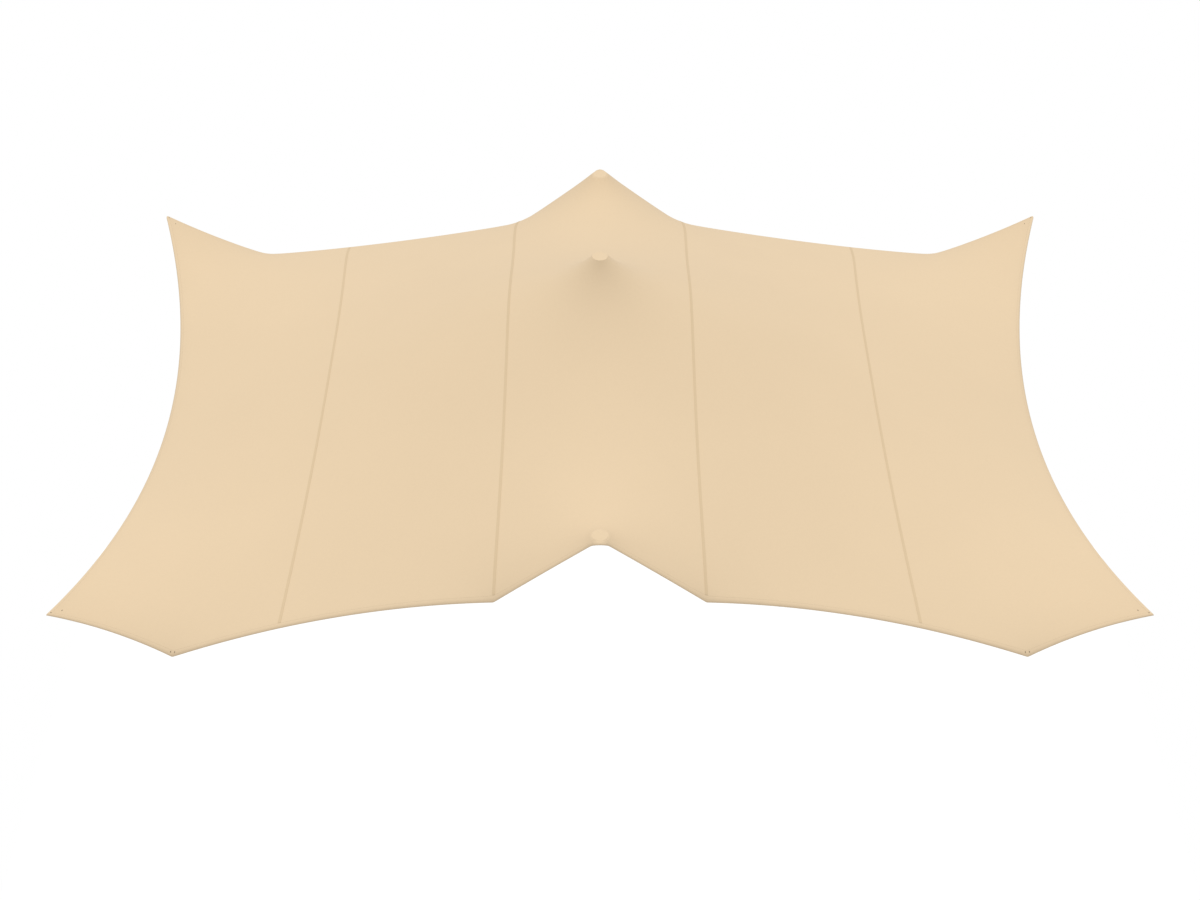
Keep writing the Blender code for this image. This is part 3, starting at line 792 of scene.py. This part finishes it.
def make_tapes(material):
    """The tapes that seal the seams on the upper face, from hem to hem."""
    spans = {
        "inner_seam": (COLUMN["shoulder_tape_in"], COLUMN["shoulder_tape_out"]),
        "outer_seam": (COLUMN["seam_tape_in"], COLUMN["seam_tape_out"]),
    }
    tapes = {}
    for seam, span in spans.items():
        for side, sign in (("left", -1), ("right", 1)):
            name = f"{side}_{seam}"
            tape = make_cloth(f"{name}_tape", mirrored(*span, sign), (-ROW["hem"], ROW["hem"]), -GAP - TAPE, TAPE,
                              material)
            tapes[name] = dress(tape, "seam_tape", name)
    return tapes


def make_hems(material):
    """The folded margins under the edges. The front and back ones run right out to the corners."""
    edge, hem = COLUMN["edge"], COLUMN["hem"]
    outer, inner = ROW["edge"], ROW["hem"]
    strips = {
        "front_hem": ((-edge, edge), (-outer, -inner)),
        "back_hem": ((-edge, edge), (inner, outer)),
        "left_hem": ((-edge, -hem), (-inner, inner)),
        "right_hem": ((hem, edge), (-inner, inner)),
    }
    return {name: dress(make_cloth(f"{name}_fold", columns, rows, FABRIC + GAP, TRIM, material), "hem_fabric", name)
            for name, (columns, rows) in strips.items()}


TACK_SIZE = (0.012, 0.005, 0.0014)
TACK_RAISE = 0.4 * TACK_SIZE[2]
TACK_ROUNDING = 0.0005
# Steps of the grid from the low point to its two tacks, and from the hems' inner lines to a corner's inner tack
LOW_TACK_COLUMNS = 2.7
CORNER_TACK_COLUMNS = 2.1
CORNER_TACK_ROWS = 4.4


def tack_places():
    """Columns and rows of the grid for the bar tacks of one half of an edge: two at the low point, and two in line at
    the corner."""
    hem, side_hem = ROW["hem"], COLUMN["hem"]
    on_hem = hem + ROLL_STEPS // 3
    low_point = COLUMN["low_point"]
    return ((low_point - LOW_TACK_COLUMNS, on_hem), (low_point + LOW_TACK_COLUMNS, on_hem),
            (side_hem + 1, hem + 1), (side_hem - CORNER_TACK_COLUMNS, hem - CORNER_TACK_ROWS))


def add_tacks(hem, depth_sign, thread):
    """Bar tacks of dark thread on the upper face, sewn through to the hem at the points of the edge."""
    mesh = bmesh.new()
    mesh.from_mesh(hem.data)
    first_edge = len(mesh.edges)
    for column, row in tack_places():
        for width_sign in (-1, 1):
            rows = (row + np.array((-0.5, 0, 0.5))) * depth_sign
            spots = surface_at(np.full(3, float(column * width_sign)), rows)
            along = Vector(spots[2, :3] - spots[0, :3]).normalized()
            beside = Vector(spots[1, 3:6]).cross(along).normalized()
            out = along.cross(beside)
            axes = Matrix((along, beside, out)).transposed().to_4x4()
            place = Matrix.Translation(Vector(spots[1, :3]) + out * TACK_RAISE)
            made = bmesh.ops.create_cube(mesh, size=1, matrix=place @ axes @ Matrix.Diagonal((*TACK_SIZE, 1)))
            for face in {face for vertex in made["verts"] for face in vertex.link_faces}:
                face.material_index = 1
    mesh.edges.ensure_lookup_table()
    bmesh.ops.bevel(mesh, geom=mesh.edges[first_edge:], offset=TACK_ROUNDING, affect="EDGES", segments=2,
                    profile=0.5, material=-1)
    mesh.to_mesh(hem.data)
    mesh.free()
    hem.data.materials.append(thread)


# Name, side and end of each quarter of the canopy
QUARTERS = [(f"{end}_{side}", width_sign, depth_sign)
            for end, depth_sign in (("front", -1), ("back", 1)) for side, width_sign in (("left", -1), ("right", 1))]


def make_patches(material):
    """The doubled cloth at the points of the edge and over the pole heads."""
    reaches = {
        "corner": ((COLUMN["corner_patch"], COLUMN["hem"]), "deep_patch"),
        "low": ((COLUMN["low_patch_in"], COLUMN["low_patch_out"]), "patch"),
        "shoulder": ((COLUMN["shoulder_patch_in"], COLUMN["shoulder_patch"]), "patch"),
    }
    places = {}
    for quarter, width_sign, depth_sign in QUARTERS:
        for point, (columns, row_mark) in reaches.items():
            rows = mirrored(ROW[row_mark], ROW["hem"], depth_sign)
            places[f"{quarter}_{point}_patch"] = (mirrored(*columns, width_sign), rows)
    across = (-COLUMN["peak_patch"], COLUMN["peak_patch"])
    places["front_peak_patch"] = (across, (-ROW["hem"], -ROW["deep_patch"]))
    places["king_patch"] = (across, (-ROW["king_patch"], ROW["king_patch"]))
    places["back_peak_patch"] = (across, (ROW["deep_patch"], ROW["hem"]))
    patches = {}
    for name, (columns, rows) in places.items():
        patch = make_cloth(f"{name}_cloth", columns, rows, FABRIC + GAP, TRIM, material, rounding=PATCH_ROUNDING)
        patches[name] = dress(patch, "doubled_fabric", name)
    return patches


def arc(middle, radius, start, end, steps=5):
    """Points on an arc in a half section, from one angle to another."""
    angles = np.radians(np.linspace(start, end, steps))
    return [(middle[0] + radius * math.cos(a), middle[1] + radius * math.sin(a)) for a in angles]


HEAD_EDGE = 0.004
HEAD_FILLET = 0.003
HEAD_STEPS = 72
MERGE_WITHIN = 1e-6


def make_head(name, place, material):
    """A turned pole head: a disc with rounded rims on a plug."""
    under = HEAD_HEIGHT - HEAD_THICKNESS
    rim = HEAD_RADIUS - HEAD_EDGE
    section = [(0, HEAD_HEIGHT), (rim / 2, HEAD_HEIGHT)]
    section += arc((rim, HEAD_HEIGHT - HEAD_EDGE), HEAD_EDGE, 90, 0)
    section += arc((rim, under + HEAD_EDGE), HEAD_EDGE, 0, -90)
    section += arc((PLUG_RADIUS + HEAD_FILLET, under - HEAD_FILLET), HEAD_FILLET, 90, 180)
    section += arc((PLUG_RADIUS - HEAD_EDGE / 2, HEAD_EDGE / 2), HEAD_EDGE / 2, 0, -90)
    section += [(PLUG_RADIUS / 2, 0), (0, 0)]
    mesh = bmesh.new()
    line = [mesh.verts.new((x, 0, z)) for x, z in section]
    edges = [mesh.edges.new(pair) for pair in zip(line, line[1:])]
    bmesh.ops.spin(mesh, geom=line + edges, cent=(0, 0, 0), axis=(0, 0, 1), angle=2 * math.pi, steps=HEAD_STEPS,
                   use_merge=True)
    bmesh.ops.remove_doubles(mesh, verts=mesh.verts, dist=MERGE_WITHIN)
    bmesh.ops.recalc_face_normals(mesh, faces=mesh.faces)
    layer = mesh.loops.layers.uv.new("surface")
    for face in mesh.faces:
        for corner in face.loops:
            corner[layer].uv = (corner.vert.co.to_2d().length, corner.vert.co.z)
    bmesh.ops.translate(mesh, verts=mesh.verts, vec=place)
    return finish_mesh(mesh, f"{name}_plastic", material)


def finish_mesh(mesh, name, *materials):
    data = bpy.data.meshes.new(name)
    mesh.to_mesh(data)
    mesh.free()
    data.shade_smooth()
    data.set_sharp_from_angle(angle=SHARP_ANGLE)
    return fresh_object(name, data, *materials)


def make_heads(material):
    spots = {
        "king_pole_head": (0, 0, 0),
        "front_pole_head": (0, -EDGE_HEAD_DEPTH, FRONT_EDGE["peak"] - KING_RISE),
        "back_pole_head": (0, EDGE_HEAD_DEPTH, BACK_EDGE["peak"] - KING_RISE),
    }
    for name, place in spots.items():
        dress(make_head(name, place, material), "tan_plastic", name)


def underside():
    """The underside of the doubled cloth, to lay the webbing loops against."""
    places = POINTS - NORMALS * (FABRIC + GAP + TRIM)
    rows = places.shape[1]
    faces = [(column * rows + row, (column + 1) * rows + row, (column + 1) * rows + row + 1, column * rows + row + 1)
             for column in range(places.shape[0] - 1) for row in range(rows - 1)]
    return BVHTree.FromPolygons(places.reshape(-1, 3).tolist(), faces)


def height_over(tree, x, y):
    return tree.ray_cast(Vector((x, y, KING_RISE)), Vector((0, 0, -1)))[0].z


def loop_frame(tree, tip, inward, inset):
    """Place of a webbing loop: its sewn ends flat against the cloth, its eye towards the tip."""
    across = Vector((-inward.y, inward.x, 0))
    eye = tip + inward * inset
    far = eye + inward * LOOP_TAIL
    left = far + across * STRAP_WIDTH / 2
    right = far - across * STRAP_WIDTH / 2
    for spot in (eye, far, left, right):
        spot.z = height_over(tree, spot.x, spot.y)
    length_axis = (far - eye).normalized()
    normal = length_axis.cross((right - left).normalized()).normalized()
    if normal.z < 0:
        normal = -normal
    width_axis = length_axis.cross(normal)
    clearances = []
    for along in np.linspace(0, LOOP_TAIL, 13):
        for beside in np.linspace(-STRAP_WIDTH / 2, STRAP_WIDTH / 2, 5):
            point = eye + length_axis * along + width_axis * beside
            clearances.append(height_over(tree, point.x, point.y) - point.z)
    drop = GAP / normal.z - min(clearances)
    axes = Matrix((length_axis, normal, width_axis)).transposed().to_4x4()
    return Matrix.Translation(eye - Vector((0, 0, drop))) @ axes


STRAP_STEP = 0.006
STRAP_ROUNDING = 0.0008
STITCH_HALF_SIZE = (0.0016, 0.0004, 0.0004)
# How far the box of stitches keeps from the strap's eye, end and sides
STITCHES_PAST_EYE = 0.009
STITCHES_FROM_END = 0.005
STITCHES_FROM_SIDE = 0.004


def strap_path():
    """Middle line of the strap in its side view: in under the cloth, round the eye, and back under itself."""
    half = WEBBING / 2
    path = [(LOOP_TAIL - step * STRAP_STEP, -half) for step in range(int(LOOP_TAIL / STRAP_STEP) + 1)]
    long_half, high_half = EYE_LENGTH / 2 + half, EYE_HEIGHT / 2 + half
    for angle in np.linspace(math.pi / 2, 2 * math.pi, 31):
        path.append((long_half * math.cos(angle), high_half * (math.sin(angle) - 1) - half))
    turn = 2 * half
    path += arc((long_half + turn, -3 * half - turn), turn, 180, 90, 6)
    end = long_half + turn
    path += [(between(end, LOOP_TAIL, step / 8), -3 * half) for step in range(1, 9)]
    return np.array(path)


def strap_section():
    """Half width and thickness of the strap's section, round its rounded edges."""
    wide, thick = STRAP_WIDTH / 2 - STRAP_ROUNDING, WEBBING / 2 - STRAP_ROUNDING
    section = []
    for (x, y), start in (((wide, thick), 0), ((-wide, thick), 90), ((-wide, -thick), 180), ((wide, -thick), 270)):
        section += arc((x, y), STRAP_ROUNDING, start, start + 90, 4)
        if start in (0, 180):
            sign = 1 if start == 0 else -1
            section += [(sign * wide * share, sign * WEBBING / 2) for share in (0.5, 0, -0.5)]
    return np.array(section)


def sweep_strap():
    """The strap of a webbing loop: a tube of its section along its path, closed at its two ends."""
    path, section = strap_path(), strap_section()
    ahead = np.gradient(path, axis=0)
    ahead /= np.linalg.norm(ahead, axis=1, keepdims=True)
    lengths = np.concatenate(([0], np.cumsum(np.linalg.norm(np.diff(path, axis=0), axis=1))))
    round_it = len(section)
    mesh = bmesh.new()
    bmesh.ops.create_grid(mesh, x_segments=round_it, y_segments=len(path) - 1, size=0.5)
    layer = mesh.loops.layers.uv.new("surface")
    for vertex in mesh.verts:
        step = round((vertex.co.x + 0.5) * round_it) % round_it
        spot = round((vertex.co.y + 0.5) * (len(path) - 1))
        beside, out = section[step]
        for corner in vertex.link_loops:
            corner[layer].uv = (beside, lengths[spot])
        place = path[spot] + out * np.array((ahead[spot][1], -ahead[spot][0]))
        vertex.co = (place[0], place[1], beside)
    bmesh.ops.remove_doubles(mesh, verts=mesh.verts, dist=MERGE_WITHIN)
    open_edges = [edge for edge in mesh.edges if edge.is_boundary]
    bmesh.ops.holes_fill(mesh, edges=open_edges, sides=0)
    bmesh.ops.recalc_face_normals(mesh, faces=mesh.faces)
    return mesh


def sew(mesh, start, end, level):
    """A row of stitches on the strap's lower face, between two points along and across it."""
    start, end = Vector(start), Vector(end)
    run = end - start
    count = max(int(run.length / STITCH), 1)
    turn = Matrix.Rotation(-math.atan2(run.y, run.x), 4, "Y")
    for step in range(count):
        spot = start.lerp(end, (step + 0.5) / count)
        place = Matrix.Translation((spot.x, level, spot.y)) @ turn @ Matrix.Diagonal((*STITCH_HALF_SIZE, 1))
        made = bmesh.ops.create_icosphere(mesh, subdivisions=2, radius=1, matrix=place)
        for face in {face for vertex in made["verts"] for face in vertex.link_faces}:
            face.material_index = 1


def make_loops(webbing, thread):
    """The webbing loops that the ropes hook into, sewn under the tips of the edge."""
    tree = underside()
    tips = {"corner": COLUMN["edge"], "low": COLUMN["low_point"], "shoulder": COLUMN["shoulder"]}
    near, far = EYE_LENGTH / 2 + STITCHES_PAST_EYE, LOOP_TAIL - STITCHES_FROM_END
    wide = STRAP_WIDTH / 2 - STITCHES_FROM_SIDE
    box = [(near, -wide), (near, wide), (far, wide), (far, -wide)]
    for quarter, width_sign, depth_sign in QUARTERS:
        for point, column in tips.items():
            tip = edge_point(column, width_sign, depth_sign)
            inward, inset = Vector((0, -depth_sign, 0)), LOOP_INSET
            if point == "corner":
                inward, inset = corner_axis(width_sign, depth_sign), CORNER_LOOP_INSET
            mesh = sweep_strap()
            for start, stop in (*zip(box, box[1:] + box[:1]), (box[0], box[2]), (box[1], box[3])):
                sew(mesh, start, stop, -2 * WEBBING)
            bmesh.ops.transform(mesh, matrix=loop_frame(tree, tip, inward, inset), verts=mesh.verts)
            name = f"{quarter}_{point}_loop"
            dress(finish_mesh(mesh, f"{name}_webbing", webbing, thread), "woven_webbing", name)


def edge_point(column, width_sign, depth_sign):
    """The point where a column of the grid meets the CAD's front or back edge."""
    edge = BACK_EDGE if depth_sign > 0 else FRONT_EDGE
    depth, rise = sharp_edge_of(COLUMNS[column:column + 1], edge)[:, 0]
    x = PLAN_X[column, LAST_ROW * (1 + depth_sign)]
    return Vector((width_sign * x, depth_sign * depth, rise + CORNER_LEVEL))


def corner_axis(width_sign, depth_sign):
    """Direction inward from a corner, halfway between its two edges."""
    tip = edge_point(COLUMN["edge"], width_sign, depth_sign)
    share = 1 - PATCH_REACH / EDGE_PEAK[1]
    beside = Vector((width_sign * side_at(share), depth_sign * CORNER[1] * share))
    along_end = edge_point(COLUMN["corner_patch"], width_sign, depth_sign) - tip
    halfway = (beside - tip.to_2d()).normalized() + along_end.to_2d().normalized()
    return halfway.normalized().to_3d()


# Each kind of panel: width, length and area of its flat cut, and the pieces that hold it
PANEL_CUTS = {
    "end_panel": (1.50, 4.85, 6.23, ("corner_loop_webbing", "low_loop_webbing")),
    "inner_panel": (1.45, 4.75, 6.38, ("shoulder_loop_webbing",)),
    "centre_panel": (1.50, 4.90, 6.72, ("pole_head_plastic",)),
}


def declare_sheets(panels):
    """Looks up how large each panel was cut and finds the pieces that hold it, but does nothing with either."""
    for name, panel in panels.items():
        kind = next(key for key in PANEL_CUTS if name.endswith(key))
        side = "" if kind == "centre_panel" else name.split("_")[0]
        width, length, area, held_by = PANEL_CUTS[kind]
        rests_on = [piece.name for piece in bpy.data.objects
                    if piece.name.endswith(held_by) and side in piece.name]


def home_of(name):
    """The panel that a tape, hem or patch is sewn or welded to."""
    side = "left" if "left" in name else "right"
    if "corner" in name or "low" in name or name in ("left_hem", "right_hem"):
        return f"{side}_end_panel"
    if "outer_seam" in name or "shoulder" in name:
        return f"{side}_inner_panel"
    return "centre_panel"


def make_canopy():
    fabric = cloth_finish("sand_stretch_fabric", SAND, 0.88, EDGE_STITCHES, "from_edge")
    hem = cloth_finish("hem_fabric", SAND, 0.86, HEM_STITCHES, "from_outline")
    doubled = cloth_finish("doubled_fabric", DOUBLED_SAND, 0.86, PATCH_STITCHES, "from_outline")
    panels = make_panels(fabric)
    sewn_on = {name: [] for name in panels}
    hems = make_hems(hem)
    tack_thread = thread_finish("tack_thread", TACK_THREAD)
    for name, depth_sign in (("front_hem", -1), ("back_hem", 1)):
        add_tacks(hems[name], depth_sign, tack_thread)
    for pieces in (make_tapes(tape_finish()), hems, make_patches(doubled)):
        for name, piece in pieces.items():
            sewn_on[home_of(name)].append(piece)
    make_heads(plastic_finish())
    make_loops(webbing_finish(), thread_finish("sewing_thread", SAND))
    declare_sheets(panels)


# The camera stands at the photograph's viewpoint, in a frame of 1200 x 900
FOCAL_LENGTH = 62.2
CAMERA_PLACE = (0.0, -12.777, 8.435)
CAMERA_DOWN = math.radians(38.53)
SKY_LIGHT = 0.612
SUN_IRRADIANCE = 1.608
SUN_DIRECTION = (-0.013, 0.080, 0.997)
SUN_WIDTH = math.radians(25)
FLOOR_LEVEL = -8.0
FLOOR_SIZE = 6.0
FLOOR_GLOW = 0.95
FAR_ENOUGH = 200
WHITE = (1, 1, 1, 1)


def set_stage():
    camera = bpy.data.objects.new("camera", bpy.data.cameras.new("camera"))
    camera.data.lens = FOCAL_LENGTH
    camera.data.clip_end = FAR_ENOUGH
    camera.location = CAMERA_PLACE
    camera.rotation_euler = (math.pi / 2 - CAMERA_DOWN, 0, 0)
    sun = bpy.data.objects.new("sun", bpy.data.lights.new("sun", "SUN"))
    sun.data.energy = SUN_IRRADIANCE
    sun.data.angle = SUN_WIDTH
    sun.rotation_euler = Vector(SUN_DIRECTION).to_track_quat("Z", "Y").to_euler()
    world = bpy.data.worlds.new("studio")
    world.use_nodes = True
    tree = world.node_tree
    sky, output = tree.nodes["Background"], tree.nodes["World Output"]
    sky.inputs["Color"].default_value = WHITE
    sky.inputs["Strength"].default_value = SKY_LIGHT
    backdrop = tree.nodes.new("ShaderNodeBackground")
    backdrop.inputs["Color"].default_value = WHITE
    rays, mix = tree.nodes.new("ShaderNodeLightPath"), tree.nodes.new("ShaderNodeMixShader")
    tree.links.new(rays.outputs["Is Camera Ray"], mix.inputs[0])
    tree.links.new(sky.outputs[0], mix.inputs[1])
    tree.links.new(backdrop.outputs[0], mix.inputs[2])
    tree.links.new(mix.outputs[0], output.inputs["Surface"])
    mesh = bmesh.new()
    bmesh.ops.create_grid(mesh, x_segments=1, y_segments=1, size=FLOOR_SIZE)
    bmesh.ops.translate(mesh, verts=mesh.verts, vec=(0, 0, FLOOR_LEVEL))
    pale = Finish("pale_floor", {"Base Color": (0.1, 0.1, 0.1, 1), "Emission Color": WHITE,
                                 "Emission Strength": FLOOR_GLOW, "Roughness": 1.0, "Specular IOR Level": 0.0})
    floor = finish_mesh(mesh, "floor", pale.material)
    scene = bpy.context.scene
    for thing in (camera, sun):
        scene.collection.objects.link(thing)
    scene.world = world
    scene.camera = camera
    scene.view_settings.view_transform = "Standard"


set_stage()
make_canopy()
